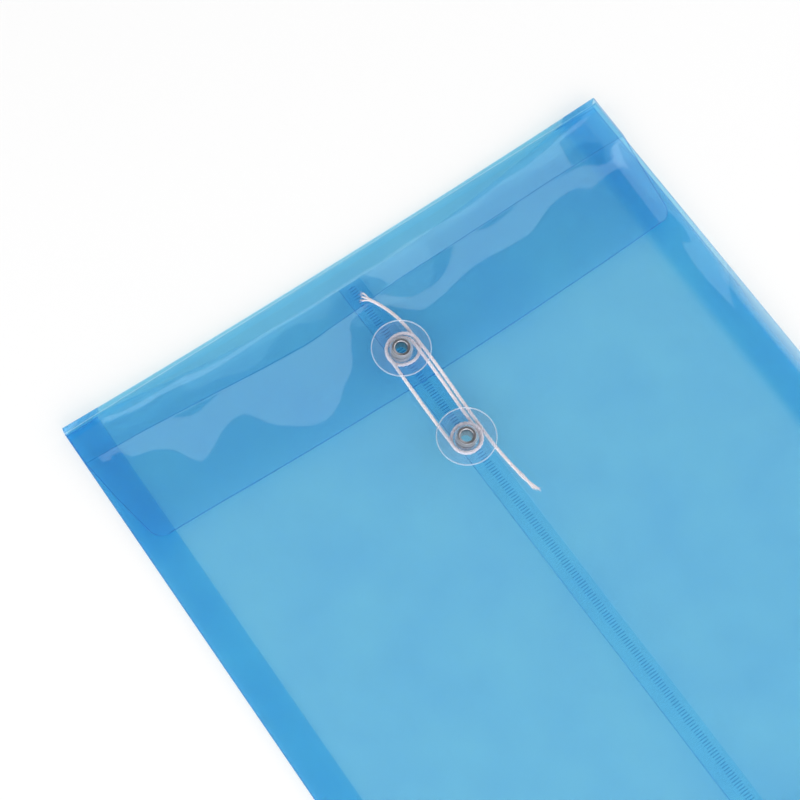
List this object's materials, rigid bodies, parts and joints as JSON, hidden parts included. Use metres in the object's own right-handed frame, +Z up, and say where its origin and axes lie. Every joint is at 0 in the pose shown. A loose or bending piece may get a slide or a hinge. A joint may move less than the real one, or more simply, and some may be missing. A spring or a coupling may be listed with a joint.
{
  "type": "string-tie document envelope",
  "caption": "Flat gusseted envelope of translucent blue film with a fold-over flap, lapped centre back seam and two clear disc buttons on eyelets tied by a wound white string.",
  "frame": {"origin": "middle of the front panel's outer face, which lies on the table", "axes": "+Y towards the flap fold, +Z up from the front panel to the flap, X across the width"},
  "size_m": [0.2476, 0.2954, 0.0121],
  "materials": {
    "film": "glossy translucent blue polypropylene film",
    "disc": "clear moulded plastic",
    "eyelet": "nickel-plated steel",
    "string": "twisted white cotton"
  },
  "bodies": {
    "front": {"front_panel": "film", "left_gusset_front": "film", "right_gusset_front": "film", "bottom_spine": "film"},
    "back": {"back_left_panel": "film", "back_right_panel": "film", "left_gusset_back": "film", "right_gusset_back": "film", "bottom_flap": "film", "lower_eyelet": "eyelet"},
    "spine": {"top_spine": "film"},
    "flap": {"closing_flap": "film", "upper_eyelet": "eyelet", "string_short_end": "string", "string_winding": "string", "string_long_end": "string"},
    "upper_disc": {"upper_button": "disc"},
    "lower_disc": {"lower_button": "disc"}
  },
  "joints": [
    {"name": "spine_fold", "type": "hinge", "parent": "front", "child": "spine", "pos_m": [0, 0.14755, 0.0001], "axis": [-1, 0, 0], "range_deg": [0, 86], "deforming": ["string_short_end", "string_winding", "string_long_end"]},
    {"name": "flap_fold", "type": "hinge", "parent": "spine", "child": "flap", "pos_m": [0, 0.14755, 0.0067], "axis": [-1, 0, 0], "range_deg": [0, 86]},
    {"name": "mouth_spread", "type": "hinge", "parent": "front", "child": "back", "pos_m": [0, -0.14755, 0.00605], "axis": [1, 0, 0], "range_deg": [0, 2.8]},
    {"name": "upper_button_spin", "type": "hinge", "parent": "flap", "child": "upper_disc", "pos_m": [-0.0029, 0.10135, 0.0107], "axis": [0, 0, 1], "continuous": true},
    {"name": "lower_button_spin", "type": "hinge", "parent": "back", "child": "lower_disc", "pos_m": [-0.0029, 0.05925, 0.0095], "axis": [0, 0, 1], "continuous": true}
  ],
  "couplings": [
    {"joint": "flap_fold", "follows": "spine_fold", "ratio": 1},
    {"joint": "mouth_spread", "follows": "spine_fold", "ratio": 0.0325}
  ]
}
